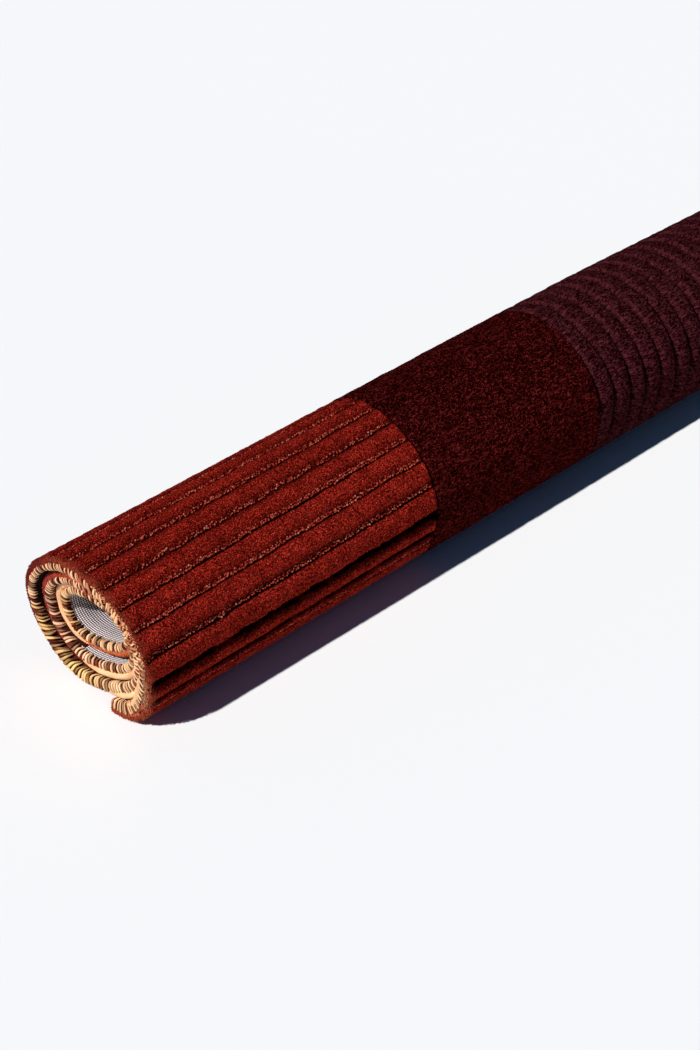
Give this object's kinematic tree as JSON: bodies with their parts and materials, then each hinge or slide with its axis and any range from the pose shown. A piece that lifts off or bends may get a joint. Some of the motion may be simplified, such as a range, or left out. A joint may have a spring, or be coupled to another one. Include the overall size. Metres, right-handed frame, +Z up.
{
  "type": "rolled rug",
  "caption": "Tufted pile rug rolled up with its pile outwards, with carved ribs, a plain band and carved hoops, and overcast yarn on both ends.",
  "frame": {"origin": "middle of the roll's box, on the surface it lies on", "axes": "+Z up; +X along the roll, away from the end with the lengthwise ribs; the loose end lies on the surface at -Y"},
  "size_m": [1.0256, 0.1782, 0.1542],
  "materials": {
    "tufted_pile": "deep matt cut pile",
    "overcast_yarn": "matt twisted yarn"
  },
  "bodies": {
    "root": {"rug": "tufted_pile", "near_binding": "overcast_yarn", "far_binding": "overcast_yarn"}
  },
  "joints": []
}
